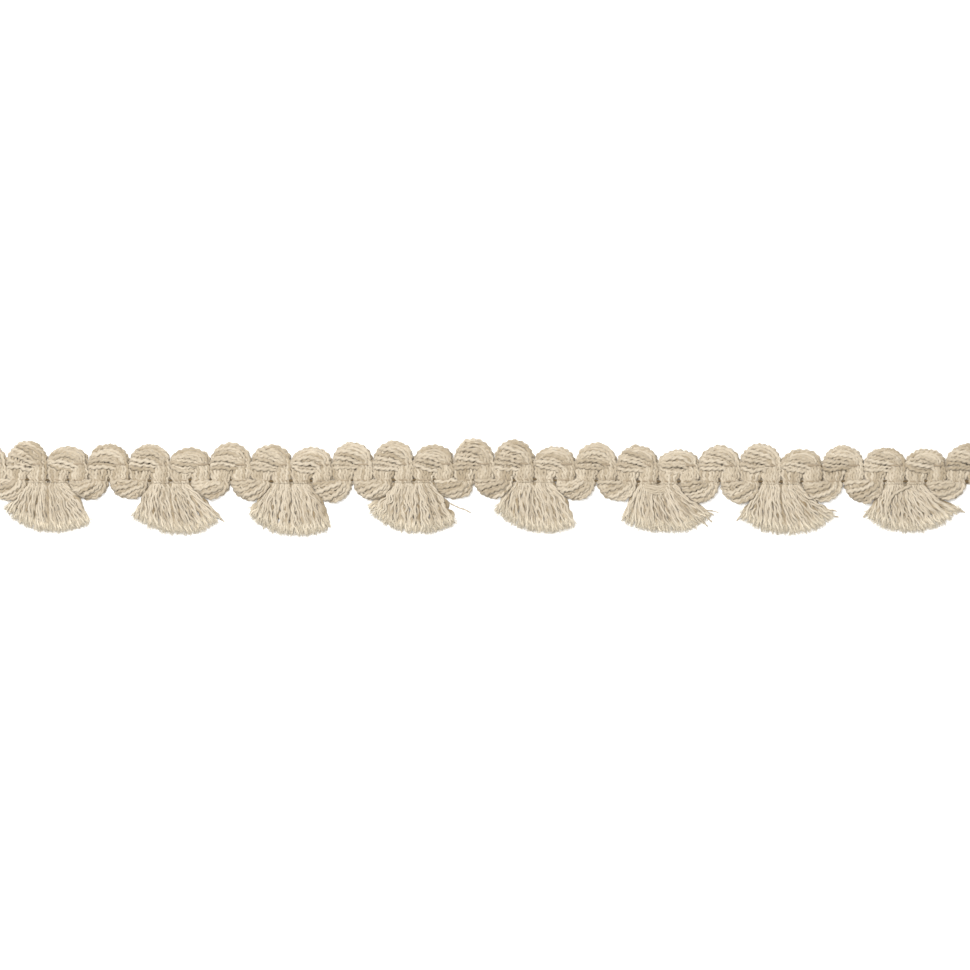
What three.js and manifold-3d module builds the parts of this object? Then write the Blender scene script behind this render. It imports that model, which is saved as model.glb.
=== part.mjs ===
// Tasselled gimp braid, a cut length lying face up.
// A thick soft cotton bundle swings up and down between two rows of chain stitch. It makes
// scallops above the upper row and, below the lower row, two short loops for each brush tassel.
// Each tassel is where a long loop was cut open, so a length of bundle runs from tassel to tassel.
// Millimetres. X runs along the braid, +Y to its scalloped edge, +Z up from its flat back.
import * as THREE from "three";
import { mergeVertices } from "three/addons/utils/BufferGeometryUtils.js";
import Module from "manifold-3d";

const wasm = await Module();
wasm.setup();

// Driving sizes
const TASSEL_PITCH = 25.4;
const COURSES_PER_TASSEL = 6;
const COURSE = TASSEL_PITCH / COURSES_PER_TASSEL;
const GAP = 0.3; // between pieces that touch on the real braid
const CHAIN_SPACING = 3.3; // lower chain row, at y = 0, to the upper one
const THREAD = 0.44; // chain thread's thickness

// One row for each tassel, left to right, as uneven as the braid is.
// shift and rise move the tassel from its even place. loopA to loopC are how high the scallops
// left of it, right of it and beyond that stand above the lower chain, and dipL and dipR how low
// the short loops beside it hang. The rest is where its cut ends lie, from the tassel's middle.
const TASSELS = [
  { shift: 0, rise: 0.1, loopA: 8.1, loopB: 7.0, loopC: 7.5, dipL: 4.2, dipR: 4.1,
    leftX: -9.5, leftY: -6.4, lowY: -11.0, rightX: 9.1, rightY: -9.5 },
  { shift: 0, rise: 0, loopA: 7.5, loopB: 6.8, loopC: 7.9, dipL: 3.9, dipR: 3.8,
    leftX: -8.1, leftY: -7.9, lowY: -11.4, rightX: 10.8, rightY: -8.3 },
  { shift: -0.3, rise: -0.1, loopA: 7.5, loopB: 7.0, loopC: 7.9, dipL: 4.1, dipR: 4.6,
    leftX: -9.3, leftY: -7.3, lowY: -11.6, rightX: 8.5, rightY: -10.2 },
  { shift: -0.3, rise: 0.1, loopA: 8.1, loopB: 7.3, loopC: 8.5, dipL: 4.1, dipR: 3.9,
    leftX: -10.2, leftY: -6.2, lowY: -11.3, rightX: 9.1, rightY: -9.5 },
  { shift: -0.75, rise: 0.15, loopA: 8.3, loopB: 7.0, loopC: 7.9, dipL: 3.8, dipR: 4.2,
    leftX: -8.5, leftY: -6.8, lowY: -11.2, rightX: 8.9, rightY: -9.7 },
  { shift: -0.4, rise: -0.2, loopA: 7.5, loopB: 6.6, loopC: 7.5, dipL: 4.2, dipR: 4.4,
    leftX: -8.1, leftY: -8.3, lowY: -10.8, rightX: 11.4, rightY: -7.5 },
  { shift: -0.4, rise: -0.2, loopA: 7.9, loopB: 6.8, loopC: 7.5, dipL: 4.6, dipR: 4.3,
    leftX: -8.9, leftY: -7.9, lowY: -11.2, rightX: 11.6, rightY: -7.5 },
  { shift: 0, rise: -0.2, loopA: 7.0, loopB: 6.8, loopC: 7.7, dipL: 4.5, dipR: 3.9,
    leftX: -8.5, leftY: -7.5, lowY: -10.8, rightX: 12.0, rightY: -6.4 },
];

// Courses are counted from the left end. One stands outside the first and the last tassel's six.
const COURSES = TASSELS.length * COURSES_PER_TASSEL + 2;
const FIRST_TASSEL_EDGE = 1 + COURSES_PER_TASSEL / 2;
const tasselEdge = (row) => FIRST_TASSEL_EDGE + row * COURSES_PER_TASSEL;

// A column of the table at a course edge, blended between the two nearest tassels
function along(column, edge) {
  const place = (edge - FIRST_TASSEL_EDGE) / COURSES_PER_TASSEL;
  const held = THREE.MathUtils.clamp(place, 0, TASSELS.length - 1);
  const row = Math.min(Math.floor(held), TASSELS.length - 2);
  return THREE.MathUtils.lerp(TASSELS[row][column], TASSELS[row + 1][column], held - row);
}
const edgeX = (edge) => (edge - COURSES / 2) * COURSE + along("shift", edge);
const chainY = (edge) => along("rise", edge);

// Repeatable unevenness from -0.5 to 0.5
function uneven(seed) {
  const s = Math.sin(seed * 78.233) * 43758.5453;
  return s - Math.floor(s) - 0.5;
}

// Closed skin over rings of equal length, each a list of points. A face is split along its
// shorter diagonal.
function skin(rings) {
  const size = rings[0].length;
  const points = rings.flat();
  const position = points.flatMap((p) => [p.x, p.y, p.z]);
  const index = [];
  for (let r = 0; r + 1 < rings.length; r++) {
    for (let k = 0; k < size; k++) {
      const a = r * size + k;
      const b = r * size + ((k + 1) % size);
      const c = b + size;
      const d = a + size;
      const alongB = points[b].distanceTo(points[d]) < points[a].distanceTo(points[c]);
      if (alongB) index.push(a, b, d, b, c, d);
      else index.push(a, b, c, a, c, d);
    }
  }
  const last = (rings.length - 1) * size;
  for (let k = 1; k + 1 < size; k++) {
    index.push(0, k + 1, k, last, last + k, last + k + 1);
  }
  const geometry = new THREE.BufferGeometry();
  geometry.setAttribute("position", new THREE.Float32BufferAttribute(position, 3));
  geometry.setIndex(index);
  return geometry;
}

// Yarn bundle: its section is a flattened oval on a flat back, with ridges for its yarns. A
// station gives the section's left and right side in plan, as seen along the way, and its height.
const RING_POINTS = 10;
const FACE_SHARE = 0.8; // of the ring's points lie over the face, the rest under the flat back
const CENTRE_SHARE = 0.45; // of the height is below the oval's centre
const RIDGE = 0.16;
const BACK_ANGLE = Math.asin(CENTRE_SHARE / (1 - CENTRE_SHARE));

function bundleRing({ left, right, height, turn }) {
  const ring = [];
  for (let k = 0; k < RING_POINTS; k++) {
    const place = THREE.MathUtils.euclideanModulo(k / RING_POINTS + turn, 1);
    let side = 0; // 1 at the left, -1 at the right
    let z = 0;
    if (place < FACE_SHARE) {
      const angle = THREE.MathUtils.lerp(-BACK_ANGLE, Math.PI + BACK_ANGLE, place / FACE_SHARE);
      side = Math.cos(angle);
      const ridge = (k % 2 ? -RIDGE : RIDGE) * Math.max(0, Math.sin(angle));
      z = Math.max(0, height * (CENTRE_SHARE + (1 - CENTRE_SHARE) * Math.sin(angle)) + ridge);
    } else {
      const across = (place - FACE_SHARE) / (1 - FACE_SHARE);
      side = -Math.cos(BACK_ANGLE) * (1 - 2 * across);
    }
    const plan = new THREE.Vector2().lerpVectors(right, left, (1 + side) / 2);
    ring.push(new THREE.Vector3(plan.x, plan.y, z));
  }
  return ring;
}

// Straight stretch of one course between the chain rows, drawn in where a row ties it down
const COURSE_STATIONS = [
  { at: 0, halfWidth: 1.45, height: 1.8 },
  { at: 0.5, halfWidth: 1.9, height: 2.2 },
  { at: 1, halfWidth: 1.6, height: 2.0 },
];
const courseMiddle = (course) => (edgeX(course) + edgeX(course + 1)) / 2;

function acrossCourse(course, y, halfWidth, goesUp) {
  const x = courseMiddle(course);
  const low = new THREE.Vector2(x - halfWidth, y);
  const high = new THREE.Vector2(x + halfWidth, y);
  return goesUp ? { left: low, right: high } : { left: high, right: low };
}

function courseStretch(course, goesUp, turn) {
  const stations = COURSE_STATIONS.map(({ at, halfWidth, height }) => ({
    ...acrossCourse(course, chainY(course + 0.5) + at * CHAIN_SPACING, halfWidth, goesUp),
    height,
    turn,
  }));
  return goesUp ? stations : stations.reverse();
}

// Half turn from one course into the next, above the upper chain or below the lower one
const LOOP_STEPS = 6;
const LOOP_HEIGHT = 2.7;
const LOOP_FOOT_HEIGHT = 2.3;
const LOOP_HOLE = GAP / 2; // radius of the closed-up middle of a loop
const SCALLOP_CENTRE = CHAIN_SPACING + 0.5;
const SHORT_LOOP_CENTRE = -0.5;
const LOOP_TURN = 0.35; // share of a turn by which the yarns cross from its outer to its inner side

function loopStations(edge, centreY, reach, turn) {
  const above = reach > 0;
  const centre = new THREE.Vector2(edgeX(edge), chainY(edge) + centreY);
  const width = (edgeX(edge + 1) - edgeX(edge - 1)) / 2 - GAP / 2;
  const stations = [];
  for (let step = 0; step <= LOOP_STEPS; step++) {
    const angle = (Math.PI * step) / LOOP_STEPS;
    const across = -Math.cos(angle);
    const rise = Math.sin(angle);
    const outer = new THREE.Vector2(across * width, rise * reach).add(centre);
    const inner = new THREE.Vector2(across, rise * Math.sign(reach));
    inner.multiplyScalar(LOOP_HOLE).add(centre);
    stations.push({
      left: above ? outer : inner,
      right: above ? inner : outer,
      height: THREE.MathUtils.lerp(LOOP_FOOT_HEIGHT, LOOP_HEIGHT, rise),
      turn: turn + (above ? 1 : -1) * LOOP_TURN * (step / LOOP_STEPS),
    });
  }
  return stations;
}

// How far the loop at a course edge stands above or hangs below the lower chain
function loopReach(edge) {
  const fromFirst = edge - FIRST_TASSEL_EDGE;
  const row = THREE.MathUtils.clamp(Math.round(fromFirst / COURSES_PER_TASSEL), 0, TASSELS.length - 1);
  const place = fromFirst - row * COURSES_PER_TASSEL;
  const tassel = TASSELS[row];
  if (place === -1) return tassel.loopA;
  if (place === 1) return tassel.loopB;
  if (Math.abs(place) === 3) return place > 0 ? tassel.loopC : TASSELS[Math.max(row - 1, 0)].loopC;
  return place < 0 ? -tassel.dipL : -tassel.dipR;
}

// A length of bundle from course first to course last, over and under as it goes. Even courses
// run up. It ends just below the lower chain.
const END_DROP = 0.45;
const END_HEIGHT = 1.9;
const END_HALF_WIDTH = 1.7;

function bundle(first, last) {
  const end = (course, goesUp, turn) => ({
    ...acrossCourse(course, chainY(course + 0.5) - END_DROP, END_HALF_WIDTH, goesUp),
    height: END_HEIGHT,
    turn,
  });
  const stations = [end(first, true, 0)];
  let turn = 0;
  for (let course = first; course <= last; course++) {
    const goesUp = course % 2 === 0;
    stations.push(...courseStretch(course, goesUp, turn));
    if (course === last) break;
    const centreY = goesUp ? SCALLOP_CENTRE : SHORT_LOOP_CENTRE;
    stations.push(...loopStations(course + 1, centreY, loopReach(course + 1) - centreY, turn));
    turn += goesUp ? LOOP_TURN : -LOOP_TURN;
  }
  stations.push(end(last, false, turn));
  return skin(stations.map(bundleRing));
}

// Tassel: the cut yarns of two courses. A low head below the chain holds two layers of strands,
// each three-sided with a level base. The lower layer lies on its base.
const HEAD = { top: -END_DROP - GAP, bottom: -2.3, halfWidth: COURSE - GAP / 2, height: 2.0 };
const HEAD_RIBS = 7; // yarns raised across it
const HEAD_RINGS = [
  { at: 0, wide: 0.96, high: 0.95 }, { at: 0.5, wide: 1, high: 1 }, { at: 1, wide: 0.97, high: 0.92 },
];
const LAYERS = [
  { strands: 11, widest: 0.96, base: 0, ridge: 0.75, reach: 1 },
  { strands: 10, widest: 0.87, base: 1.08, ridge: 0.68, reach: 0.97 },
];
const STRAND = { rootWidth: 0.5, tipWidth: 1.1, rootY: -1.5, straightTo: -3.6, lean: 1.15, steps: 3 };
const ROOT_LIFT = 0.1; // of a strand's base off the flat back, inside the head
const ROOT_SPREAD = 0.9; // of the head's half width holds strand roots
const TIP_UNEVENNESS = 0.7;
const TIP_SWAY = 0.3;
const SIDE_DROOP = 2.2; // how sharply the cut edge rises to its two sides

function tasselHead(x, y) {
  const section = [{ across: 1, up: 0 }, { across: 1, up: 0.5 }];
  for (let k = 1; k < 2 * HEAD_RIBS; k++) {
    section.push({ across: 1 - k / HEAD_RIBS, up: k % 2 ? 1 : 0.84 });
  }
  section.push({ across: -1, up: 0.5 }, { across: -1, up: 0 });
  return skin(HEAD_RINGS.map(({ at, wide, high }) => {
    const ringY = y + THREE.MathUtils.lerp(HEAD.top, HEAD.bottom, at);
    return section.map(({ across, up }) => new THREE.Vector3(
      x + across * wide * HEAD.halfWidth, ringY, up * high * HEAD.height));
  }));
}

// Moves a point off the short loops on both sides of a tassel
function clearOfLoops(point, edge, room) {
  for (const loopEdge of [edge - 2, edge + 2]) {
    const centre = new THREE.Vector2(edgeX(loopEdge), chainY(loopEdge) + SHORT_LOOP_CENTRE);
    const width = (edgeX(loopEdge + 1) - edgeX(loopEdge - 1)) / 2 - GAP / 2 + room;
    const depth = -loopReach(loopEdge) + SHORT_LOOP_CENTRE + room;
    const offset = point.clone().sub(centre);
    const share = Math.hypot(offset.x / width, offset.y / depth);
    if (share < 1 && offset.y < 0) point.copy(centre).addScaledVector(offset, 1 / share);
  }
  return point;
}

// q is the strand's place in the fan, from -1 at the left to 1 at the right.
function strand(row, layer, q, seed) {
  const { leftX, leftY, lowY, rightX, rightY } = TASSELS[row];
  const edge = tasselEdge(row);
  const x = edgeX(edge);
  const y = chainY(edge);
  const sideY = q < 0 ? leftY : rightY;
  const length = layer.reach * (1 + TIP_UNEVENNESS * uneven(seed) / -lowY);
  const tip = new THREE.Vector2(
    THREE.MathUtils.lerp(leftX, rightX, (q + 1) / 2) + TIP_SWAY * uneven(seed + 0.5),
    THREE.MathUtils.lerp(lowY, sideY, Math.abs(q) ** SIDE_DROOP),
  ).multiplyScalar(length);
  const rootX = q * ROOT_SPREAD * HEAD.halfWidth;
  const path = new THREE.QuadraticBezierCurve(
    new THREE.Vector2(rootX, STRAND.rootY),
    new THREE.Vector2(rootX * STRAND.lean, STRAND.straightTo),
    tip,
  );
  const rings = [];
  for (let step = 0; step <= STRAND.steps; step++) {
    const t = step / STRAND.steps;
    const half = THREE.MathUtils.lerp(STRAND.rootWidth, STRAND.tipWidth, t) / 2;
    const across = path.getTangent(t).rotateAround(new THREE.Vector2(), Math.PI / 2);
    const middle = path.getPoint(t).add(new THREE.Vector2(x, y));
    clearOfLoops(middle, edge, GAP + half);
    const low = layer.base + (step ? 0 : ROOT_LIFT);
    const high = layer.base + layer.ridge;
    const left = middle.clone().addScaledVector(across, half);
    const right = middle.clone().addScaledVector(across, -half);
    rings.push([
      new THREE.Vector3(left.x, left.y, low),
      new THREE.Vector3(middle.x, middle.y, high),
      new THREE.Vector3(right.x, right.y, low),
    ]);
  }
  return skin(rings);
}

function solidOf(geometry) {
  const merged = mergeVertices(geometry, 1e-4);
  const vertProperties = merged.getAttribute("position").array;
  const triVerts = new Uint32Array(merged.index.array);
  const solid = new wasm.Manifold(new wasm.Mesh({ numProp: 3, vertProperties, triVerts }));
  if (solid.volume() < 0) throw new Error("inside out");
  return solid;
}

function geometryOf(solid) {
  const { vertProperties, triVerts } = solid.getMesh();
  const geometry = new THREE.BufferGeometry();
  geometry.setAttribute("position", new THREE.BufferAttribute(vertProperties, 3));
  geometry.setIndex(new THREE.BufferAttribute(triVerts, 1));
  return geometry;
}

function tassel(row) {
  const edge = tasselEdge(row);
  let whole = solidOf(tasselHead(edgeX(edge), chainY(edge)));
  let seed = row / TASSELS.length;
  for (const layer of LAYERS) {
    for (let k = 0; k < layer.strands; k++) {
      const q = layer.widest * ((2 * k) / (layer.strands - 1) - 1);
      seed += 1;
      whole = whole.add(solidOf(strand(row, layer, q, seed)));
    }
  }
  return geometryOf(whole);
}

// Chain thread: passes over each course and dips between courses
const THREAD_STATIONS = [
  { at: 0, up: 0.85 }, { at: 0.3, up: 2.35 }, { at: 0.7, up: 2.35 },
];

function chainThread(rowY, crest) {
  const rings = [];
  const addRing = (course, at, up) => {
    const x = THREE.MathUtils.lerp(edgeX(course), edgeX(course + 1), at);
    const y = chainY(course + at) + rowY;
    const low = up + crest - THREAD / 2;
    rings.push([
      new THREE.Vector3(x, y - THREAD / 2, low),
      new THREE.Vector3(x, y + THREAD / 2, low),
      new THREE.Vector3(x, y, low + THREAD),
    ]);
  };
  for (let course = 0; course < COURSES; course++) {
    THREAD_STATIONS.forEach(({ at, up }) => addRing(course, at, up));
  }
  addRing(COURSES, 0, THREAD_STATIONS[0].up);
  return skin(rings);
}

const cotton = { roughness: 0.95, metalness: 0 };
const yarn = new THREE.MeshStandardMaterial({ color: 0xcfc1a9, ...cotton });
const cutYarn = new THREE.MeshStandardMaterial({ color: 0xd3c4a6, ...cotton });
const thread = new THREE.MeshStandardMaterial({ color: 0xc4b59c, ...cotton });

function named(name, geometry, material) {
  const mesh = new THREE.Mesh(geometry, material);
  mesh.name = name;
  return mesh;
}

const trim = new THREE.Group();
for (let length = 0; length <= TASSELS.length; length++) {
  const first = length ? tasselEdge(length - 1) : 0;
  const last = length < TASSELS.length ? tasselEdge(length) - 1 : COURSES - 1;
  trim.add(named(`bundle_${length + 1}`, bundle(first, last), yarn));
}
TASSELS.forEach((_, row) => trim.add(named(`tassel_${row + 1}`, tassel(row), cutYarn)));
trim.add(named("chain_lower", chainThread(0, 0), thread));
trim.add(named("chain_upper", chainThread(CHAIN_SPACING, 0.2), thread));

// The origin is under the middle of the braid's plan.
const plan = new THREE.Box3().setFromObject(trim, true).getCenter(new THREE.Vector3());
trim.position.set(-plan.x, -plan.y, 0);

export default trim;
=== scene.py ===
"""Looks of a tasselled cotton gimp braid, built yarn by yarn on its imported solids.

Sizes are in millimetres until a mesh is made. X runs along the braid, +Y to its scallops and
+Z up from the table it lies on.
"""
import math

import bpy
import numpy as np
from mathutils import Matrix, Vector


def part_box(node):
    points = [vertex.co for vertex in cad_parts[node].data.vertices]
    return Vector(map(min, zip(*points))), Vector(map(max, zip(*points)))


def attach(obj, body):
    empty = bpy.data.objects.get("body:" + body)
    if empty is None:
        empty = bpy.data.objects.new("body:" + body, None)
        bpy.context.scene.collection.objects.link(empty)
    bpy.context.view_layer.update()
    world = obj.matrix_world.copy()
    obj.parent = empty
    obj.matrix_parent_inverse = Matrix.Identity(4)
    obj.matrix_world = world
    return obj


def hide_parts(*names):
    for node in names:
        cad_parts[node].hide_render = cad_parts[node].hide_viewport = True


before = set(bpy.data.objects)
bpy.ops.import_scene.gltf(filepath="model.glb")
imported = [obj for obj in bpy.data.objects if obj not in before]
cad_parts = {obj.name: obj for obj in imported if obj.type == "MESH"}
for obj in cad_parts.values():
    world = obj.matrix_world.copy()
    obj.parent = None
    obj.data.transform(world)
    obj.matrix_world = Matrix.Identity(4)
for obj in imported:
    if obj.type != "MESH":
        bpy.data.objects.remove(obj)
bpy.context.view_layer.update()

# Yarn bundles
# Nine bundles of soft two-ply cotton yarn, each fourteen yarns in two layers round six core yarns,
# carried up and down across the heading. At every turn, a scallop above or a short loop below, the
# layer that came up at the back wraps over its left side and face, and the other goes round behind.

MM = 0.001
TURN = 2 * math.pi
random = np.random.default_rng(20)

COURSES_PER_TASSEL = 6
COURSE = 25.4 / COURSES_PER_TASSEL
HALF_COURSE = COURSE / 2
CHAIN_SPACING = 3.3  # from the lower row of chain stitch to the upper
LEAST_RISE = -0.2  # of the tassels in the table below
THREAD_HALF = 0.22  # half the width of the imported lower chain's thread

# One row for each tassel, left to right: its shift and rise from an even row, the heights of the
# scallops left and right of it and beyond, the drops of the short loops beside it, and where its
# cut ends lie, from its own middle and the lower chain
COLUMNS = "shift rise loop_a loop_b loop_c dip_l dip_r left_x left_y low_y right_x right_y".split()
ROWS = np.array([
    (0, 0.1, 8.1, 7.0, 7.5, 4.2, 4.1, -9.5, -6.4, -11.0, 9.1, -9.5),
    (0, 0, 7.5, 6.8, 7.9, 3.9, 3.8, -8.1, -7.9, -11.4, 10.8, -8.3),
    (-0.3, -0.1, 7.5, 7.0, 7.9, 4.1, 4.6, -9.3, -7.3, -11.6, 8.5, -10.2),
    (-0.3, 0.1, 8.1, 7.3, 8.5, 4.1, 3.9, -10.2, -6.2, -11.3, 9.1, -9.5),
    (-0.75, 0.15, 8.3, 7.0, 7.9, 3.8, 4.2, -8.5, -6.8, -11.2, 8.9, -9.7),
    (-0.4, -0.2, 7.5, 6.6, 7.5, 4.2, 4.4, -8.1, -8.3, -10.8, 11.4, -7.5),
    (-0.4, -0.2, 7.9, 6.8, 7.5, 4.6, 4.3, -8.9, -7.9, -11.2, 11.6, -7.5),
    (0, -0.2, 7.0, 6.8, 7.7, 4.5, 3.9, -8.5, -7.5, -10.8, 12.0, -6.4),
])
TASSELS = [dict(zip(COLUMNS, row)) for row in ROWS]
COURSES = len(TASSELS) * COURSES_PER_TASSEL + 2
FIRST_TASSEL_EDGE = 1 + COURSES_PER_TASSEL // 2

low_chain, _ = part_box("chain_lower")
CHAIN_Y = low_chain.y / MM - LEAST_RISE + THREAD_HALF


def tassel_edge(row):
    """The course edge at a tassel's middle"""
    return FIRST_TASSEL_EDGE + row * COURSES_PER_TASSEL


def along(column, edge):
    """A column of the table at a course edge, blended between the two nearest tassels"""
    values = ROWS[:, COLUMNS.index(column)]
    return float(np.interp((edge - FIRST_TASSEL_EDGE) / COURSES_PER_TASSEL, range(len(values)), values))


def edge_x(edge):
    """Where a course edge lies along the braid"""
    return (edge - COURSES / 2) * COURSE + along("shift", edge)


def chain_y(edge):
    """Where the lower chain lies at a course edge"""
    return CHAIN_Y + along("rise", edge)


def loop_reach(edge):
    """How far the turn at a course edge stands above, or hangs below, the lower chain"""
    row = int(np.clip(round((edge - FIRST_TASSEL_EDGE) / COURSES_PER_TASSEL), 0, len(TASSELS) - 1))
    place = edge - tassel_edge(row)
    if place in (-1, 1):
        return TASSELS[row]["loop_a" if place < 0 else "loop_b"]
    if abs(place) == 3:
        return TASSELS[row if place > 0 else max(row - 1, 0)]["loop_c"]
    return TASSELS[row]["dip_l" if place < 0 else "dip_r"]


FINE_STEP = 0.08


def smooth_line(points, step):
    """A smooth line through points, with a point each step along it"""
    points = np.array(points, float)
    chord = np.linalg.norm(np.diff(points, axis=0), axis=1)
    at = np.concatenate([[0], np.cumsum(np.maximum(chord, 1e-6))])
    slope = np.empty_like(points)
    slope[1:-1] = (points[2:] - points[:-2]) / (at[2:] - at[:-2])[:, None]
    slope[0] = (points[1] - points[0]) / (at[1] - at[0])
    slope[-1] = (points[-1] - points[-2]) / (at[-1] - at[-2])
    fine = np.linspace(0, at[-1], int(at[-1] / FINE_STEP) + 2)
    k = np.clip(np.searchsorted(at, fine, side="right") - 1, 0, len(at) - 2)
    width = (at[k + 1] - at[k])[:, None]
    t = (fine - at[k])[:, None] / width
    line = ((2 * t ** 3 - 3 * t ** 2 + 1) * points[k] + (t ** 3 - 2 * t ** 2 + t) * width * slope[k]
            + (3 * t ** 2 - 2 * t ** 3) * points[k + 1] + (t ** 3 - t ** 2) * width * slope[k + 1])
    length = np.concatenate([[0], np.cumsum(np.linalg.norm(np.diff(line, axis=0), axis=1))])
    even = np.linspace(0, length[-1], max(int(length[-1] / step), 3) + 1)
    return np.stack([np.interp(even, length, line[:, axis]) for axis in range(3)], 1)


def soften(line, rounds):
    """Rounds off a line's sharp turns, its ends kept"""
    line = line.copy()
    for _ in range(rounds):
        line[1:-1] = 0.25 * line[:-2] + 0.5 * line[1:-1] + 0.25 * line[2:]
    return line


def directions(line):
    """Along, across and up, at each point of a line"""
    ahead = np.gradient(line, axis=0)
    ahead /= np.linalg.norm(ahead, axis=1)[:, None]
    across = np.cross(ahead, (0, 0, 1))
    across /= np.maximum(np.linalg.norm(across, axis=1), 1e-6)[:, None]
    return ahead, across, np.cross(across, ahead)


def smoothstep(t):
    """Eases from 0 to 1"""
    t = np.clip(t, 0, 1)
    return t * t * (3 - 2 * t)


SWING_LENGTHS = (1.9, 4.4)
LIFT_LENGTHS = (1.8, 3.5)


def wave(line, amount):
    """Sets a line waving a little from side to side and, half as much, up and down"""
    _, across, _ = directions(line)
    length = np.concatenate([[0], np.cumsum(np.linalg.norm(np.diff(line, axis=0), axis=1))])

    def ripple(lengths):
        return np.sin(TURN * length / random.uniform(*lengths) + random.uniform(0, TURN))

    swing = sum(random.uniform(0.4, 1) * ripple(SWING_LENGTHS) for _ in range(2))
    lift = ripple(LIFT_LENGTHS)
    line = line + across * (swing * amount)[:, None]
    line[:, 2] += 0.5 * lift * amount
    return line


LEAST_HEIGHT = 0.01  # of anything above the table


class Skin:
    """Gathers tubes into one mesh"""

    def __init__(self):
        self.points, self.quads, self.caps, self.cap_sizes = [], [], [], []
        self.tone, self.fray, self.uv, self.count = [], [], [], 0

    def tube(self, line, radius, sides, plies=1, depth=0.0, pitch=2.4, phase=0.0, tone=0.0, fray=0.0):
        """A tube of so many plies, each standing out by depth of its radius, twisted once in pitch"""
        rings = len(line)
        _, across, up = directions(line)
        length = np.concatenate([[0], np.cumsum(np.linalg.norm(np.diff(line, axis=0), axis=1))])
        angle = TURN * np.arange(sides) / sides
        lobe = 1 + depth * np.cos(plies * (angle[None] - TURN * length[:, None] / pitch - phase))
        size = (np.broadcast_to(radius, (rings,))[:, None] * lobe)[..., None]
        spokes = np.cos(angle)[None, :, None] * across[:, None] + np.sin(angle)[None, :, None] * up[:, None]
        skin = line[:, None] + size * spokes
        skin[..., 2] = np.maximum(skin[..., 2], LEAST_HEIGHT)
        self.points.append(skin.reshape(-1, 3))
        ring, side = np.meshgrid(np.arange(rings - 1), np.arange(sides), indexing="ij")
        ahead = (side + 1) % sides
        corners = [(ring, side), (ring + 1, side), (ring + 1, ahead), (ring, ahead)]
        quads = np.stack([self.count + r * sides + s for r, s in corners], -1).reshape(-1, 4)
        self.quads.append(quads)
        self.caps.append(self.count + np.arange(sides))
        self.caps.append(self.count + (rings - 1) * sides + np.arange(sides)[::-1])
        self.cap_sizes += [sides, sides]
        turns = [side, side, side + 1, side + 1]
        self.uv.append(np.stack([np.stack([length[r], turn / sides], -1)
                                 for (r, _), turn in zip(corners, turns)], 2).reshape(-1, 2))
        self.tone.append(np.full(rings * sides, tone))
        self.fray.append(np.repeat(np.broadcast_to(fray, (rings,)), sides))
        self.count += rings * sides

    def piece(self, name, material, slot, *nodes):
        """Makes the mesh a piece that rides on the braid and stands for its solids"""
        mesh = bpy.data.meshes.new(name)
        points, quads, caps = (np.concatenate(part) for part in (self.points, self.quads, self.caps))
        mesh.vertices.add(len(points))
        mesh.vertices.foreach_set("co", (points * MM).astype(np.float32).ravel())
        corners = np.concatenate([quads.ravel(), caps])
        mesh.loops.add(len(corners))
        mesh.loops.foreach_set("vertex_index", corners.astype(np.int32))
        sizes = np.concatenate([np.full(len(quads), 4), self.cap_sizes])
        mesh.polygons.add(len(sizes))
        starts = np.concatenate([[0], np.cumsum(sizes)[:-1]])
        mesh.polygons.foreach_set("loop_start", starts.astype(np.int32))
        mesh.polygons.foreach_set("use_smooth", np.ones(len(sizes), bool))
        uv = np.concatenate([*self.uv, np.zeros((len(caps), 2))])
        mesh.uv_layers.new(name="yarn").data.foreach_set("uv", uv.astype(np.float32).ravel())
        for label, values in (("tone", self.tone), ("fray", self.fray)):
            attribute = mesh.attributes.new(label, "FLOAT", "POINT")
            attribute.data.foreach_set("value", np.concatenate(values).astype(np.float32))
        mesh.update(calc_edges=True)
        mesh.materials.append(material)
        made = bpy.data.objects.new(name, mesh)
        bpy.context.scene.collection.objects.link(made)
        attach(made, "root")
        if nodes:
            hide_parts(*nodes)


def colour(code):
    """Linear colour of an sRGB hex code"""
    channels = [int(code[k:k + 2], 16) / 255 for k in (1, 3, 5)]
    return (*(c / 12.92 if c <= 0.04045 else ((c + 0.055) / 1.055) ** 2.4 for c in channels), 1)


PATCHES_PER_MM = 0.9  # of lighter and darker cotton
FIBRE_SLANT = 0.5
FIBRE_SPREAD = (1.2, 14, 1)  # to a millimetre along the yarn, and once round it
FIBRE_RELIEF = 0.14


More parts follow.
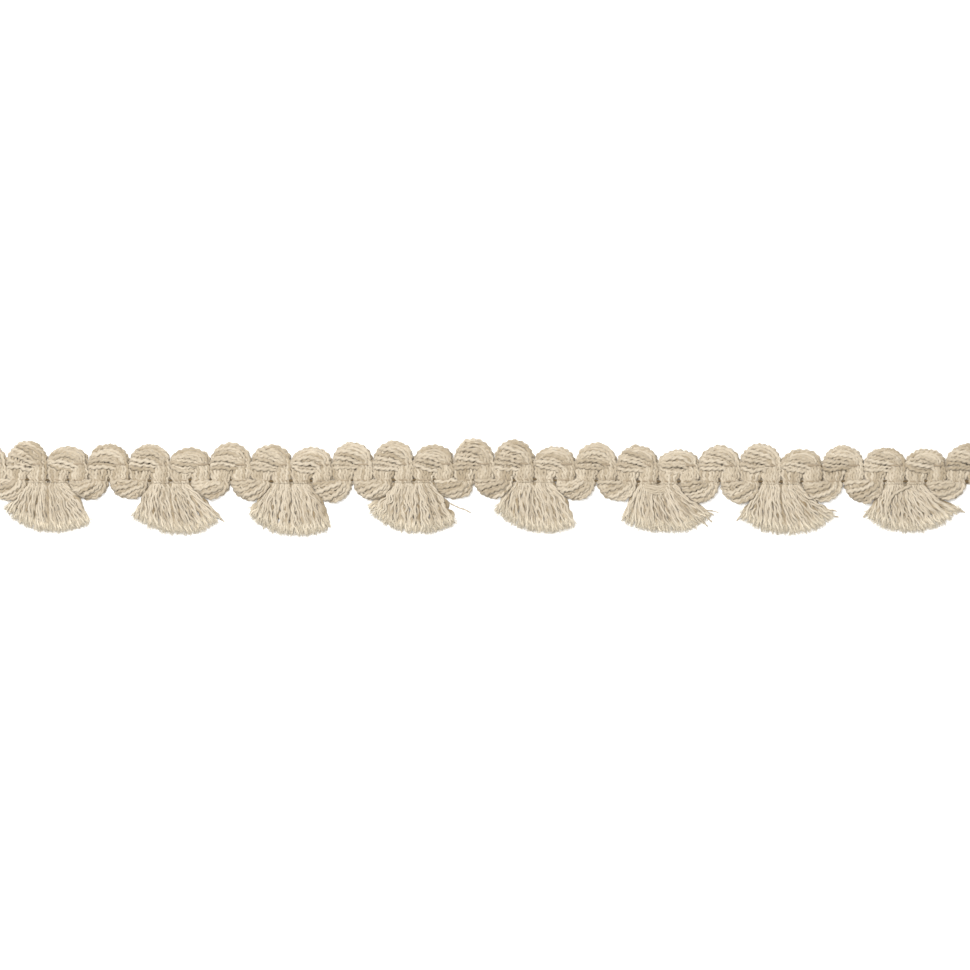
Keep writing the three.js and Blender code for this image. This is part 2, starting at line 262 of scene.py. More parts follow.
def cotton(name, dark, light, cut):
    """Spun cotton, unbleached and undyed: matte, with a faint sheen of loose fibres. Its colour
    drifts along a yarn and from one yarn to the next, and is painted paler where the yarn is cut, a painted
    glow for the light that comes through thin ends and fibres."""
    material = bpy.data.materials.new(name)
    material.use_nodes = True
    nodes, links = material.node_tree.nodes, material.node_tree.links
    shader = nodes["Principled BSDF"]
    shader.inputs["Roughness"].default_value = 0.9
    shader.inputs["Specular IOR Level"].default_value = 0.15
    shader.inputs["Sheen Weight"].default_value = 0.25
    shader.inputs["Sheen Roughness"].default_value = 0.5

    def node(kind, settings=None, **inputs):
        made = nodes.new(kind)
        for key, value in (settings or {}).items():
            setattr(made, key, value)
        for key, value in inputs.items():
            socket = made.inputs[key.replace("_", " ")]
            if isinstance(value, bpy.types.NodeSocket):
                links.new(value, socket)
            else:
                socket.default_value = value
        return made

    tone = node("ShaderNodeAttribute", {"attribute_name": "tone"})
    fray = node("ShaderNodeAttribute", {"attribute_name": "fray"})
    place = node("ShaderNodeTexCoord")
    patches = node("ShaderNodeTexNoise", Scale=PATCHES_PER_MM / MM, Detail=3.0, Roughness=0.6,
                   Vector=place.outputs["Object"])
    drift = node("ShaderNodeMath", {"operation": "ADD"})
    links.new(tone.outputs["Fac"], drift.inputs[0])
    links.new(patches.outputs["Fac"], drift.inputs[1])
    spread = node("ShaderNodeMapRange", From_Min=0.2, From_Max=1.4, Value=drift.outputs[0])
    base = node("ShaderNodeMix", {"data_type": "RGBA"}, Factor=spread.outputs["Result"],
                A=colour(dark), B=colour(light))
    # painted glow: the colour turns towards the paler cut colour at tips and loose fibres
    tips = node("ShaderNodeMix", {"data_type": "RGBA"}, Factor=fray.outputs["Fac"],
                A=base.outputs["Result"], B=colour(cut))
    links.new(tips.outputs["Result"], shader.inputs["Base Color"])
    uv = node("ShaderNodeUVMap", {"uv_map": "yarn"})
    # fibres lie slanting round the yarn, drawn about 0.1 mm apart so that they show
    slant = node("ShaderNodeMapping", Vector=uv.outputs["UV"], Rotation=(0, 0, FIBRE_SLANT),
                 Scale=FIBRE_SPREAD)
    fibres = node("ShaderNodeTexNoise", Scale=1.6, Detail=4.0, Roughness=0.7, Vector=slant.outputs["Vector"])
    bump = node("ShaderNodeBump", Strength=0.6, Distance=FIBRE_RELIEF * MM, Height=fibres.outputs["Fac"])
    links.new(bump.outputs["Normal"], shader.inputs["Normal"])
    return material


# Undyed cotton, a warm light beige; cut ends and loose fibres are painted creamier, a painted glow for the
# light that comes through them
yarn_cotton = cotton("yarn_cotton", "#8a795e", "#c4b8a4", "#ede2cb")

YARNS_PER_LAYER = 7
CORE_YARNS = 6
YARN_RADIUS = 0.38
YARN_STEP = 0.3
PLY_DEPTH = 0.44  # how far the two plies stand out, as a share of the radius
YARN_SIDES = 8
CORE_SIDES = 6
CORE_STEP = 3  # the core is drawn at every third step

# Between the chain rows: how high the middles of the yarns lie, and how they are drawn together
BACK_Z = 0.42
CORE_Z = 1.0
CORE_WIDTH = 0.85  # of the layer's
FRONT_Z = 1.5
FRONT_CROWN = 0.4  # by which the outermost front yarns lie lower
FRONT_STAGGER = 0.03  # by which one yarn lies higher and the next lower
EDGE_ROOM = 0.33  # a course's edge to the middle of its outermost yarn
PINCH = 0.42  # how far the chain stitch draws the front in at each side
PINCH_BACK = 0.06
PINCH_SINK = 0.15
PINCH_LENGTH = 0.65
UPPER_PINCH = 0.8  # beside the lower row's
WAIST = {"pinch": 0.1, "height": 1.0, "length": 0.8}  # a slighter drawing-in above the lower row
LEAN = {"by": 0.32, "from": 0.7, "length": 1.8}  # of the front yarns, towards the turn above


def share_of(slot):
    """A yarn's place across its layer, from -1 to 1"""
    return 2 * slot / (YARNS_PER_LAYER - 1) - 1


def column_point(course, slot, front, height):
    """Where a yarn lies between the chain rows"""
    share = share_of(slot)
    goes_up = course % 2 == 0
    even_side = share < 0 if goes_up else share > 0
    pinch = math.exp(-(height / PINCH_LENGTH) ** 2)
    pinch += WAIST["pinch"] * math.exp(-((height - WAIST["height"]) / WAIST["length"]) ** 2)
    if even_side:
        pinch += UPPER_PINCH * math.exp(-((height - CHAIN_SPACING) / PINCH_LENGTH) ** 2)
    half = HALF_COURSE - EDGE_ROOM - pinch * (PINCH if front else PINCH_BACK)
    across = share * half
    z = BACK_Z
    if front is None:
        z, across = CORE_Z, CORE_WIDTH * across
    elif front:
        z = FRONT_Z - FRONT_CROWN * share ** 2 - PINCH_SINK * pinch
        z += FRONT_STAGGER if slot % 2 else -FRONT_STAGGER
        lean = LEAN["by"] * (1 + share) if goes_up else LEAN["by"] * (1 - share)
        across += lean * smoothstep((height - LEAN["from"]) / LEAN["length"])
    middle = (edge_x(course) + edge_x(course + 1)) / 2
    return [middle + across, chain_y(course + 0.5) + height, z]


# A turn's outline is an ellipse about a centre so far out from the lower chain. Its front yarns
# come round from the back all the way up its left rim, innermost to outermost between the start
# angles, and cross to the right course. The innermost ends at inner_end, given right of the turn's
# middle and out from the lower chain, and sags by sag on its way. The outermost follows the
# outline, drawn in by so much that the back layer shows round it.
SCALLOP_CENTRE = CHAIN_SPACING + 0.3
BEFORE_TASSEL = {"centre": SCALLOP_CENTRE, "starts": (194, 108), "end": 24, "inner_end": (1.2, 2.2),
                 "sag": 0.0, "drawn": 0.97}
AFTER_TASSEL = {"centre": SCALLOP_CENTRE, "starts": (186, 160), "end": 24, "inner_end": (0.8, 2.0),
                "sag": 0.5, "drawn": 0.87}
BETWEEN = {"centre": SCALLOP_CENTRE, "starts": (194, 122), "end": 24, "inner_end": (1.3, 2.5),
           "sag": -0.1, "drawn": 0.96}
SHORT_LOOP = {"centre": -0.1, "starts": (171, 98), "end": 20, "inner_end": (0.6, 0.2),
              "sag": 0.1, "drawn": 0.97}
CROSSING = np.array([0.22, 0.48, 0.74, 1.0])[:, None]  # where a way is set out, from start to end
LAP = 0.3  # how far a scallop's first yarns lap over the course on their left
LAP_LENGTH = 1.5
START_SCATTER = 0.03
FACE_SCATTER = 0.12

# How high a front yarn lies at a turn's face. Every second yarn sinks between its neighbours.
FACE_Z = 2.1
FACE_SCATTER_Z = 0.1
INNER_CROWN = 0.3
OUTER_CROWN = 0.95
SUNK = 0.38
RIM_Z = 1.1  # where it comes round the rim
SHORT_RIM_Z = 0.95
TUCK = {"by": (0.35, -1.0), "z": BACK_Z + 0.05}  # where it leaves the back layer, before the rim
RISE = {"by": (0, 0.08), "z": 0.2, "short_z": 0.1}  # how it arches between the rim and the face


def turn_kind(edge, above):
    """Which lie a turn has. The scallops on either side of a tassel and those between differ."""
    if not above:
        return SHORT_LOOP
    place = (edge - FIRST_TASSEL_EDGE) % COURSES_PER_TASSEL
    return {1: AFTER_TASSEL, COURSES_PER_TASSEL - 1: BEFORE_TASSEL}.get(place, BETWEEN)


# No two turns are laid alike: how far a crown leans to one side, how far its left shoulder falls
# short, how far round its outermost yarn starts, and how its inner yarns tilt
turn_sway = random.normal(0, 0.25, COURSES + 1)
turn_slack = random.uniform(0, 0.5, COURSES + 1)
turn_start = random.normal(0, 0.2, COURSES + 1)
turn_tilt = random.normal(0, 0.12, COURSES + 1)


def over_turn(edge, slot, above):
    """A yarn's way from the back of the left course, over the turn's face, to the right course"""
    kind = turn_kind(edge, above)
    share = slot / (YARNS_PER_LAYER - 1)
    width = (edge_x(edge + 1) - edge_x(edge - 1)) / 2 - EDGE_ROOM
    height = loop_reach(edge) - YARN_RADIUS - kind["centre"]

    def rim(angle, drawn):
        out = kind["centre"] + drawn * height * np.sin(angle)
        return np.concatenate([drawn * width * np.cos(angle), out], -1)

    first, last = np.radians(kind["starts"]) + (0, turn_start[edge])
    end = np.radians([kind["end"]])
    start = rim(np.array([first + (last - first) * share + random.normal(0, START_SCATTER)]), 1)
    start[1] -= turn_slack[edge] * share * (1 - share) * 2
    if above:
        start[0] -= LAP * (1 - smoothstep((start[1] - CHAIN_SPACING) / LAP_LENGTH))
    finish = (1 - share) * np.array(kind["inner_end"]) + share * rim(end, kind["drawn"])
    arc = rim(last + (end - last) * CROSSING, kind["drawn"])
    chord = (1 - CROSSING) * rim(np.array([last]), kind["drawn"]) + CROSSING * rim(end, kind["drawn"])
    face = (1 - CROSSING) * start + CROSSING * finish + share * (arc - chord)
    middle = np.sin(math.pi * CROSSING[:, 0])
    face[:, 0] += turn_sway[edge] * share * middle
    face[:, 1] += middle * (turn_tilt[edge] * face[:, 0] * (1 - share) - kind["sag"] * (1 - share) ** 2)
    face += random.normal(0, FACE_SCATTER, face.shape)
    crown = (INNER_CROWN if share < 0.5 else OUTER_CROWN) * (2 * share - 1) ** 2
    top = FACE_Z - crown + random.normal(0, FACE_SCATTER_Z)
    sunk = SUNK if slot % 2 else 0.0
    top -= sunk
    innermost = (1 - share) ** 2 if above else 0  # a scallop's inner yarns dip under its outer ones
    rise = 0.4 * SHORT_RIM_Z + 0.6 * top + (RISE["z"] if above else RISE["short_z"])
    way = [
        (start + TUCK["by"], TUCK["z"]),
        (start - (0, 0.1), RIM_Z if above else SHORT_RIM_Z),
        (0.6 * start + 0.4 * face[0] + RISE["by"], rise),
        (face[0], top),
        (face[1], top),
        (face[2], top - 0.05 - 0.25 * innermost),
        (face[3], 0.5 * (top + FRONT_Z - sunk) - 0.12 * share - 0.35 * innermost),
    ]
    sign = 1 if above else -1
    return [[edge_x(edge) + u, chain_y(edge) + sign * v, z] for (u, v), z in way]


BACK_ANGLES = np.radians([15, 50, 90, 130, 165])


def under_turn(edge, slot, above, z):
    """A yarn's way round the back of a turn, level with its place in the left course"""
    kind = turn_kind(edge, above)
    sign = 1 if above else -1
    height = loop_reach(edge) - YARN_RADIUS - kind["centre"]
    width = (edge_x(edge + 1) - edge_x(edge - 1)) / 2 - EDGE_ROOM
    out = HALF_COURSE - share_of(slot) * (HALF_COURSE - EDGE_ROOM)
    return [[edge_x(edge) - out * math.cos(a),
             chain_y(edge) + sign * (kind["centre"] + out * height / width * math.sin(a)), z]
            for a in BACK_ANGLES]


COLUMN_HEIGHTS = [0.0, 0.9, 1.75]
LAPPED_HEIGHTS = [0.0, 0.8, 1.3]  # of the back yarns that turn out under a scallop
TURN_CORE_Z = 1.6  # the core swells where a turn is fullest
TURN_CORE_CROWN = 0.6


def yarn_way(first, last, slot, front):
    """Way of one yarn across a bundle's courses, first to last, and the layer that it ends in. front
    is None for a core yarn."""
    way = []
    for course in range(first, last + 1):
        goes_up = course % 2 == 0
        heights = LAPPED_HEIGHTS if front is False and goes_up else COLUMN_HEIGHTS
        if not goes_up:
            heights = heights[::-1]
        way += [column_point(course, slot, front, height) for height in heights]
        if course == last:
            break
        if front is False:
            way += over_turn(course + 1, slot, goes_up)
            front = True
        elif front is None:
            core_z = TURN_CORE_Z - TURN_CORE_CROWN * share_of(slot) ** 2
            way += under_turn(course + 1, slot, goes_up, core_z)
        else:
            way += under_turn(course + 1, slot, goes_up, BACK_Z)
            slot = YARNS_PER_LAYER - 1 - slot
            front = False
    return way, front


SLUB = 0.052  # of a yarn's thickness
SLUB_STEPS = 9  # steps of a yarn that thicken together


def slubs(count):
    """How a yarn's thickness drifts along it"""
    drift = random.normal(0, 1, count + SLUB_STEPS - 1)
    return 1 + SLUB * np.convolve(drift, np.ones(SLUB_STEPS) / SLUB_STEPS ** 0.5, "valid")


ROOT_DROP = 0.6  # where a bundle's ends turn into tassels, under the lower chain
YARN_WAVE = 0.055
STEADY_LENGTH = 2  # over which the wave and the slubs fade towards a yarn's ends
YARN_TONES = (0.15, 0.85)  # from darker to lighter cotton
PLY_PITCHES = (1.9, 2.9)
bundle_ends = [[] for _ in TASSELS]
fibre_roots = []


def lay_yarn(skin, index, slot, front):
    """Builds one yarn of a bundle, and notes where its ends turn into tassels"""
    has_left, has_right = index > 0, index < len(TASSELS)
    first = tassel_edge(index - 1) if has_left else 0
    last = tassel_edge(index) - 1 if has_right else COURSES - 1
    way, last_front = yarn_way(first, last, slot, front)
    way = [np.array(point) for point in way]
    way = [way[0] - (0, ROOT_DROP, 0)] + way + [way[-1] - (0, ROOT_DROP, 0)]
    line = soften(smooth_line(way, YARN_STEP), 2)
    step = np.arange(len(line))
    from_end = np.minimum(step, step[::-1]) * YARN_STEP
    line = wave(line, YARN_WAVE * smoothstep(from_end / STEADY_LENGTH))
    line[:, 2] = np.maximum(line[:, 2], 0.9 * YARN_RADIUS)
    radius = YARN_RADIUS * (1 + (slubs(len(line)) - 1) * smoothstep(from_end / STEADY_LENGTH))
    looks = {"tone": random.uniform(*YARN_TONES), "phase": random.uniform(0, TURN),
             "pitch": random.uniform(*PLY_PITCHES)}
    every, sides = (1, YARN_SIDES) if front is not None else (CORE_STEP, CORE_SIDES)
    picked = np.unique(np.append(step[::every], step[-1]))
    skin.tube(line[picked], radius[picked], sides, plies=2, depth=PLY_DEPTH, **looks)
    fibre_roots.append(line)
    if has_left:
        bundle_ends[index - 1].append((line[0], front, looks))
    if has_right:
        bundle_ends[index].append((line[-1], last_front, looks))


for index in range(len(TASSELS) + 1):
    skin = Skin()
    for slot in range(YARNS_PER_LAYER):
        lay_yarn(skin, index, slot, True)
        lay_yarn(skin, index, slot, False)
    for slot in range(CORE_YARNS):
        lay_yarn(skin, index, slot + 0.5, None)
    skin.piece(f"yarns_{index + 1}", yarn_cotton, "yarn", f"bundle_{index + 1}")

# Brush tassels
# The cut ends of two bundles of cotton yarn hang side by side from the lower chain, which holds them,
# and fan out. The yarns crimp where they were bent, and their tips open into plies and loose fibres.

FAN_COLUMNS = ("lowest", "crimp")  # the fan's lowest place, from -1 to 1 across it, and its yarns' wave
FAN_ROWS = [(0.13, 0.10), (0.19, 0.09), (0.18, 0.15), (0.15, 0.15),
            (0.36, 0.09), (0.11, 0.10), (0.08, 0.11), (-0.16, 0.12)]
FANS = [dict(zip(FAN_COLUMNS, row)) for row in FAN_ROWS]
FAN_FILL = 1.03  # so that the outermost yarns reach the fan's sides
PLACE_SCATTER = 0.02
STOPS = (0.35, 0.7, 1.0)  # shares of the way from the head to the fan, and from there to the tip
HEAD_HALF = 4.3
HEAD_DROP = 0.9
FAN_HALF = 6.2
FAN_DEPTH = -3.9  # where the fan is so wide
FAN_SWELL = 0.3
FAN_SKEW = 0.3
TIP_ROOM = {"x": 0.4, "y": 0.3}  # from a tip's yarn to the end of its fibres
TIP_CURVE = 2.3  # how the row of tips rises from its lowest place to its sides
TIP_REACH = (0.97, 1.0)
HIDDEN_REACH = 0.955
LOOP_ROOM = 0.15  # between a tassel and the short loops beside it
# How high a tassel's yarns lie: those from a bundle's front, its back and its core
LAYER_Z = {True: (0.9, 1.35), False: (0.4, 0.7), None: (0.75, 1.15)}
PLY_RADIUS = 0.23
HIDDEN_PLY_RADIUS = 0.37  # the lower yarns lie pressed flat on the table
PLY_SIDES = 6
PLY_GAP = 0.15  # a ply's middle from the yarn's
PLY_LOOSENINGS = (0.02, 0.15)  # how much wider it grows, in half of the yarns and in the others
PLY_WAVE = 0.05
BRUSH_TONE = 0.28  # cut yarns are a little paler than the heading
HIDDEN_SHADE_TONE = -0.2  # and those beneath are painted a little darker, a painted shade for lying under the front yarns
PLY_TONE_SCATTER = 0.15
# How far down a yarn its crimp and the loosening of its plies begin, and over what length they grow
CRIMP = {"from": 0.7, "length": 3.2}
LOOSE = {"from": 0.8, "length": 3.4}
UNTWIST = 1.2  # how much longer the twist grows
# The last millimetres of each tip are painted paler, a painted glow for the light through its thin end
FRAY_GLOW = {"by": 0.6, "length": 3.0}
TAPER = {"by": 0.5, "length": 1.6}
SIDE_SPREAD = 0.3  # how much more the fibres bend out at a fan's sides


def end_order(ends):
    """The ends of a tassel, left to right, each with its place in the fan from -1 to 1"""
    ends = sorted(ends, key=lambda end: end[0][0])
    places = 2 * (np.arange(len(ends)) + 0.5) / len(ends) - 1
    places = FAN_FILL * places + random.normal(0, PLACE_SCATTER, len(ends))
    return list(zip(np.clip(places, -1, 1), ends))


def clear_of_loops(point, edge):
    """Moves a point of a tassel off the short loops beside it"""
    for loop_edge in (edge - 2, edge + 2):
        centre = np.array([edge_x(loop_edge), chain_y(loop_edge)])
        half = np.array([(edge_x(loop_edge + 1) - edge_x(loop_edge - 1)) / 2, loop_reach(loop_edge)])
        half += LOOP_ROOM
        offset = point - centre
        outside = np.linalg.norm(offset / half)
        if outside < 1 and offset[1] < 0:
            point = centre + offset / outside
    return point


def brush_line(row, q, root, layer):
    """Middle line of one yarn from the lower chain to its cut tip"""
    tassel, edge = TASSELS[row], tassel_edge(row)
    x, y = edge_x(edge), chain_y(edge)
    lowest = FANS[row]["lowest"]
    side_y = tassel["left_y"] if q < lowest else tassel["right_y"]
    outward = (lowest - q) / (1 + lowest) if q < lowest else (q - lowest) / (1 - lowest)
    tip_x = np.interp(q, [-1, 1], [tassel["left_x"] + TIP_ROOM["x"], tassel["right_x"] - TIP_ROOM["x"]])
    tip_y = tassel["low_y"] + TIP_ROOM["y"] + (side_y - tassel["low_y"]) * outward ** TIP_CURVE
    tip = np.array([tip_x, tip_y])
    tip *= random.uniform(*TIP_REACH) if layer is not False else HIDDEN_REACH
    skew = FAN_SKEW * (tassel["left_x"] + tassel["right_x"]) / 2
    fan = np.array([FAN_HALF * q + skew * abs(q), FAN_DEPTH])
    start = root[:2] - (x, y)
    lies_at = {place: random.uniform(*heights) for place, heights in LAYER_Z.items()}[layer]
    head = np.array([HEAD_HALF * q, start[1] - HEAD_DROP])
    stops = [start, 0.5 * start + 0.5 * head, head]
    for t in STOPS:
        along_fan = (1 - t) * head + t * fan
        along_fan[0] += FAN_SWELL * (1 - t) * t * (fan[0] - head[0])
        stops.append(along_fan)
    stops += [(1 - t) * fan + t * tip for t in STOPS]
    way = []
    for k, stop in enumerate(stops):
        flat = clear_of_loops(stop + (x, y), edge) if k > 1 else stop + (x, y)
        t = k / (len(stops) - 1)
        laid = lies_at * (1 - 0.5 * smoothstep((t - 0.7) / 0.3))
        settled = smoothstep(t * 2)
        way.append([*flat, (1 - settled) * root[2] + settled * laid])
    return smooth_line(way, YARN_STEP)


FIBRES_PER_TIP = 11  # at each ply
FIBRE_START = (10, 3)  # steps back from the tip
FIBRE_REACH = (0.1, 0.3)  # how far past the tip, and how much that varies
FIBRE_SIDE = 0.2
FIBRE_LIFT = 0.15
FIBRE_BEND = 0.22
FIBRE_CURL = 0.08
FIBRE_WAVES = (0.7, 1.3)
FIBRE_RADII = (0.035, 0.07)
# how far each fibre is painted paler, a painted glow for the light through it
FIBRE_GLOW = (0.4, 0.8)
FIBRE_LEAST_Z = 0.08
FIBRE_SIDES = 3


def fray_out(skin, line, tone, amount):
    """Opens a yarn's cut end into a brush of loose fibres"""
    for _ in range(FIBRES_PER_TIP):
        k = random.integers(len(line) - FIBRE_START[0], len(line) - FIBRE_START[1])
        ahead = line[k + 2] - line[k]
        ahead /= np.linalg.norm(ahead)
        across = np.cross(ahead, (0, 0, 1))
        side, lift = random.normal(0, FIBRE_SIDE), random.normal(0, FIBRE_LIFT)
        reach = (len(line) - k) * YARN_STEP + random.normal(*FIBRE_REACH)
        t = np.linspace(0, 1, 4)[:, None]
        bend = across * random.normal(0, FIBRE_BEND) * amount + np.array((0, 0, 0.6 * lift))
        path = line[k] + across * side + np.array((0, 0, lift)) + ahead * reach * t + bend * reach * t * t
        path = path + across * random.normal(0, FIBRE_CURL) * np.sin(TURN * t * random.uniform(*FIBRE_WAVES))
        path[:, 2] = np.maximum(path[:, 2], FIBRE_LEAST_Z)
        radius = random.uniform(*FIBRE_RADII) * (1 - 0.6 * t[:, 0])
        skin.tube(path, radius, FIBRE_SIDES, tone=tone, fray=random.uniform(*FIBRE_GLOW))


def brush_yarn(skin, row, q, end):
    """One yarn of a tassel: its two plies, which wind round each other ever more loosely"""
    root, layer, looks = end
    line = brush_line(row, q, root, layer)
    down = np.arange(len(line)) * YARN_STEP
    line = wave(line, FANS[row]["crimp"] * smoothstep((down - CRIMP["from"]) / CRIMP["length"]))
    to_tip = down[-1] - down
    hidden = layer is False
    # Yarns from the back layer are painted darker, a painted shade for lying beneath the front
    tone = 0.5 * looks["tone"] + HIDDEN_SHADE_TONE if hidden else looks["tone"] + BRUSH_TONE
    ply_radius = HIDDEN_PLY_RADIUS if hidden else PLY_RADIUS
    fray = FRAY_GLOW["by"] * (1 - smoothstep(to_tip / FRAY_GLOW["length"]))
    taper = 1 - TAPER["by"] * (1 - smoothstep(to_tip / TAPER["length"]))
    _, across, up = directions(line)
    loosening = smoothstep((down - LOOSE["from"]) / LOOSE["length"])
    pitch = looks["pitch"] * (1 + UNTWIST * loosening)
    angle = looks["phase"] + np.cumsum(TURN * YARN_STEP / pitch)
    apart = PLY_GAP + random.choice(PLY_LOOSENINGS) * loosening
    for ply in (0, math.pi):
        offset = np.cos(angle + ply)[:, None] * across + np.sin(angle + ply)[:, None] * up
        way = wave(line + apart[:, None] * offset, PLY_WAVE * loosening)
        way[:, 2] = np.maximum(way[:, 2], 0.9 * ply_radius)
        radius = ply_radius * slubs(len(line)) * taper
        skin.tube(way, radius, PLY_SIDES, fray=fray, tone=tone + random.normal(0, PLY_TONE_SCATTER))
        fray_out(skin, way, tone, 1 + SIDE_SPREAD * abs(q) ** 3)
    fibre_roots.append(line)


# Yarns that stray from their tassel: which one, where each starts, passes and ends, right of the
# tassel's middle and up from the lower chain, its greatest height above the table and its radius.
# The four broad ones at the sixth tassel lie across its head as a tuft, and one crosses the eighth.
STRAY_COLUMNS = "tassel start_x start_y mid_x mid_y end_x end_y height radius".split()
STRAYS = [
    (2, 5.9, -3.0, 8.7, -5.8, 11.2, -8.7, 0.9, 0.16),
    (2, 5.4, -3.2, 7.9, -5.9, 10.6, -8.2, 0.7, 0.18),
    (3, -4.9, -8.4, -5.5, -9.3, -5.9, -10.1, 0.5, 0.10),
    (4, 5.8, -4.0, 8.9, -5.5, 11.8, -6.7, 0.6, 0.13),
    (6, -2.9, -1.6, -0.9, -2.5, 1.4, -2.3, 1.45, 0.28),
    (6, -3.2, -1.1, -0.8, -2.1, 1.8, -1.8, 1.52, 0.30),
    (6, -3.4, -0.8, -0.7, -1.6, 2.0, -1.4, 1.58, 0.30),
    (6, -3.2, -0.4, -0.6, -1.1, 1.9, -1.0, 1.60, 0.30),
    (6, 5.7, -3.9, 8.6, -5.6, 11.5, -7.0, 0.8, 0.14),
    (6, 5.3, -4.0, 8.2, -6.2, 11.1, -8.4, 0.7, 0.16),
    (6, 5.0, -4.5, 7.9, -7.0, 10.2, -9.3, 0.8, 0.16),
    (6, 7.6, -5.0, 10.0, -5.9, 12.5, -6.4, 0.5, 0.10),
    (7, -5.9, -4.3, -7.6, -6.2, -9.2, -8.2, 0.7, 0.15),
    (7, 6.3, -4.5, 9.0, -5.6, 11.6, -6.2, 0.7, 0.16),
    (7, 6.1, -4.9, 9.1, -6.5, 12.0, -7.4, 0.6, 0.14),
    (8, 1.1, -0.9, -2.4, -2.6, -3.9, -5.3, 1.85, 0.28),
    (8, 6.3, -3.5, 9.3, -5.2, 12.3, -6.4, 0.8, 0.20),
    (8, -5.8, -3.8, -7.3, -5.6, -8.7, -7.5, 0.7, 0.18),
]
STRAY_DROP = 0.35  # by which both ends lie lower
STRAY_WAVE = 0.05
STRAY_SIDES = 8
STRAY_PLY_DEPTH = 0.25
STRAY_TONE = 0.55

for row, ends in enumerate(bundle_ends):
    skin = Skin()
    for q, end in end_order(ends):
        brush_yarn(skin, row, q, end)
    x, y = edge_x(tassel_edge(row)), chain_y(tassel_edge(row))
    for stray in (dict(zip(STRAY_COLUMNS, values)) for values in STRAYS):
        if stray["tassel"] == row + 1:
            high = stray["height"]
            way = [[x + stray["start_x"], y + stray["start_y"], high - STRAY_DROP],
                   [x + stray["mid_x"], y + stray["mid_y"], high],
                   [x + stray["end_x"], y + stray["end_y"], high - STRAY_DROP]]
            line = wave(smooth_line(way, YARN_STEP), STRAY_WAVE)
            skin.tube(line, stray["radius"] * slubs(len(line)), STRAY_SIDES, plies=2,
                      depth=STRAY_PLY_DEPTH, tone=STRAY_TONE)
    skin.piece(f"brush_{row + 1}", yarn_cotton, "cut_yarn", f"tassel_{row + 1}")

# Chain stitches
# Two fine cotton threads cross over each course and sink between courses, where they lock into a
# thicker thread along the back. Pulled tight, they draw the courses in and leave a small hollow at
# each edge, which shows dark with its shade and with the locking thread painted dark brown.

# The stitches are spun harder than the yarns; they are painted a shade greyer, a painted shade for the dark
# line along each row. The locking thread is painted dark brown, a painted shade for its place deep between
# the courses, where hardly any light comes; it shows as a brown dot.
shaded_thread_cotton = cotton("shaded_thread_cotton", "#8f7f69", "#b9a993", "#c6b99f")
shade_painted_cotton = cotton("shade_painted_cotton", "#54452f", "#6b5a40", "#6b5a40")
THREAD_RADIUS = 0.12
THREAD_STEP = 0.3
THREAD_SIDES = 5
# The stitch threads are painted darker, a painted shade for the dark line along each stitch row
THREAD_SHADE_TONE = 0.1
STITCH_SWAY = 0.028
STITCH_HALF_GAP = 0.06
BETWEEN_Z = 0.6  # how low a stitch sinks between courses
END_Z = 0.9
LOWER_TOPS = (1.55, 1.55)  # how high it stands on courses that run up, and on those that run down
UPPER_TOPS = (1.15, 1.85)


def stitch_row(name, node, row_y, tops):
    """A row of stitches: two threads side by side that cross over every course"""
    skin = Skin()
    for ply in (-1, 1):
        way = []
        for course in range(COURSES):
            x = edge_x(course)
            sway = ply * (STITCH_SWAY if course % 2 else -STITCH_SWAY)
            y = chain_y(course) + row_y
            top = tops[course % 2]
            way.append([x, y, BETWEEN_Z])
            way.append([x + 0.3 * COURSE, y - sway, top])
            way.append([x + 0.7 * COURSE, y + sway, top])
        way.append([edge_x(COURSES), chain_y(COURSES) + row_y, END_Z])
        line = soften(smooth_line(way, THREAD_STEP), 1)
        line[:, 1] += ply * STITCH_HALF_GAP
        skin.tube(line, THREAD_RADIUS, THREAD_SIDES, tone=THREAD_SHADE_TONE)
    skin.piece(name, shaded_thread_cotton, "thread", node)


LOCK_RADIUS = 0.3
LOCK_STEP = 0.35
LOCK_SIDES = 6
LOCK_SCATTER = 0.07
LOCK_Z = 0.3
LOCK_KNOT_Z = (0.75, 1.0)  # where a stitch draws it up between courses
LOCK_TONE = 0.5
LOCK_SLUBS = 3  # how much more uneven it is than a yarn


def lock_row(name, row_y):
    """The thread that the stitches lock into, drawn up between courses"""
    skin = Skin()
    way = []
    for k in range(2 * COURSES + 1):
        y = chain_y(k / 2) + row_y + random.normal(0, LOCK_SCATTER)
        way.append([edge_x(k / 2), y, LOCK_Z if k % 2 else random.uniform(*LOCK_KNOT_Z)])
    line = smooth_line(way, LOCK_STEP)
    radius = LOCK_RADIUS * (1 + LOCK_SLUBS * (slubs(len(line)) - 1))
    # Its dark brown is painted shade for the hollows between courses
    skin.tube(line, radius, LOCK_SIDES, tone=LOCK_TONE)
    skin.piece(name, shade_painted_cotton, "thread")


stitch_row("stitch_lower", "chain_lower", 0.0, LOWER_TOPS)
stitch_row("stitch_upper", "chain_upper", CHAIN_SPACING, UPPER_TOPS)
lock_row("lock_lower", 0.0)
lock_row("lock_upper", CHAIN_SPACING)

# Loose fibres
# Fine ends of cotton fibre stand off the spun yarns all over, where the twist doesn't hold them, and
# blur the braid's outline.

LOOSE_FIBRES = 5500
LOOSE_RADIUS = 0.028
LOOSE_LENGTHS = (0.4, 1.2)
LOOSE_TONES = (0.3, 1.2)
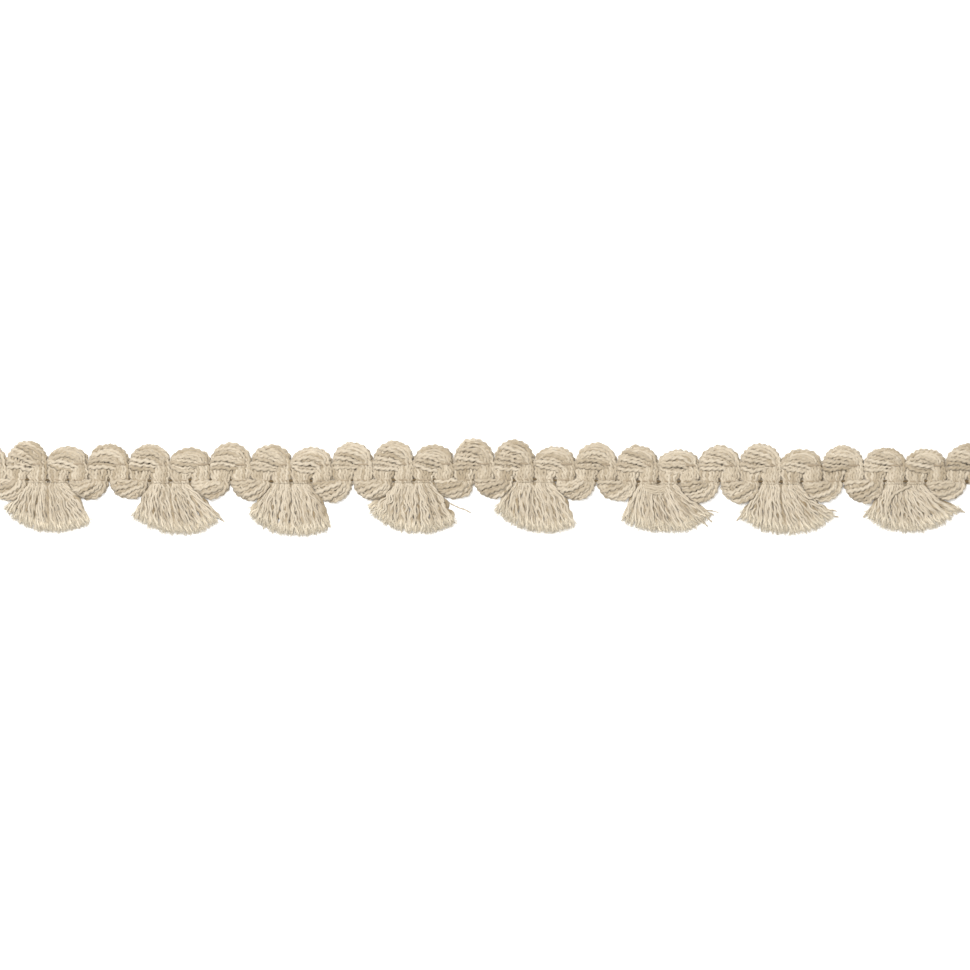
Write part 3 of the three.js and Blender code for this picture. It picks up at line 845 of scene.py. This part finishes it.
# loose fibres are painted a little paler, a painted glow for the light through them
LOOSE_GLOW = 0.3
ON_YARN = 0.3  # where a fibre leaves the yarn, from the yarn's middle
LOOSE_OUT = 0.55
LOOSE_ALONG = 0.8
LOOSE_CURL = 0.3
LOOSE_LEAST_Z = 0.05
fibres = Skin()
for _ in range(LOOSE_FIBRES):
    line = fibre_roots[random.integers(len(fibre_roots))]
    k = random.integers(2, len(line) - 3)
    ahead = line[k + 1] - line[k]
    ahead /= np.linalg.norm(ahead)
    out = random.normal(0, 1, 3)
    out[2] = abs(out[2]) * 0.7
    out /= np.linalg.norm(out)
    length = random.uniform(*LOOSE_LENGTHS)
    t = np.linspace(0, 1, 3)[:, None]
    path = line[k] + out * ON_YARN + (out * LOOSE_OUT + ahead * random.normal(0, LOOSE_ALONG)) * length * t
    path = path + random.normal(0, LOOSE_CURL, 3) * t * t
    path[:, 2] = np.maximum(path[:, 2], LOOSE_LEAST_Z)
    fibres.tube(path, LOOSE_RADIUS * (1 - 0.5 * t[:, 0]), FIBRE_SIDES, tone=random.uniform(*LOOSE_TONES),
                fray=LOOSE_GLOW)
fibres.piece("loose_fibres", yarn_cotton, "yarn")

# Table, light and camera
# The braid lies on smooth white paper under soft light from above, and is seen from straight
# overhead through a long lens. The paper glows a little, so that it stays white in the shadows.

PHOTO_WIDTH = 970
MM_PER_PIXEL = 25.4 / 122.6
BRAID_MIDDLE_PIXEL = 476.6
CHAIN_PIXEL = 480.4
LENS = 150.0
SENSOR = 36.0
FACE_HEIGHT = 1.2  # where the photo's scale is taken
PAPER_GLOW = 0.12
STUDIO_LIGHT = 0.58

# Smooth matte paper: an even white with hardly any gloss
bpy.ops.mesh.primitive_plane_add(size=3.0, location=(0, 0, 0))
floor = bpy.context.object
floor.name = "floor"
paper = bpy.data.materials.new("paper")
paper.use_nodes = True
sheet = paper.node_tree.nodes["Principled BSDF"]
sheet.inputs["Base Color"].default_value = colour("#fcfcfb")
sheet.inputs["Roughness"].default_value = 0.9
sheet.inputs["Specular IOR Level"].default_value = 0.1
sheet.inputs["Emission Color"].default_value = colour("#ffffff")
sheet.inputs["Emission Strength"].default_value = PAPER_GLOW
floor.data.materials.append(paper)

world = bpy.data.worlds.new("studio")
bpy.context.scene.world = world
world.use_nodes = True
world.node_tree.nodes["Background"].inputs["Color"].default_value = (1, 1, 1, 1)
world.node_tree.nodes["Background"].inputs["Strength"].default_value = STUDIO_LIGHT

LIGHTS = [
    {"name": "key", "at": (-0.22, 0.26, 0.79), "size": 0.35, "watts": 7.9},
    {"name": "fill", "at": (0.3, -0.3, 0.8), "size": 0.7, "watts": 1.8},
]
for light in LIGHTS:
    bpy.ops.object.light_add(type="AREA", location=light["at"])
    lamp = bpy.context.object
    lamp.name = light["name"]
    lamp.data.size = light["size"]
    lamp.data.energy = light["watts"]
    lamp.rotation_euler = (-lamp.location).to_track_quat("-Z", "Y").to_euler()

half_frame = PHOTO_WIDTH / 2
centre_x = (half_frame - BRAID_MIDDLE_PIXEL) * MM_PER_PIXEL
centre_y = CHAIN_Y - (half_frame - CHAIN_PIXEL) * MM_PER_PIXEL
distance = PHOTO_WIDTH * MM_PER_PIXEL * LENS / SENSOR
bpy.ops.object.camera_add(location=(centre_x * MM, centre_y * MM, (distance + FACE_HEIGHT) * MM))
camera = bpy.context.object
camera.data.lens = LENS
camera.data.sensor_width = SENSOR
camera.data.clip_start = 0.01
bpy.context.scene.camera = camera
bpy.context.scene.view_settings.view_transform = "Standard"
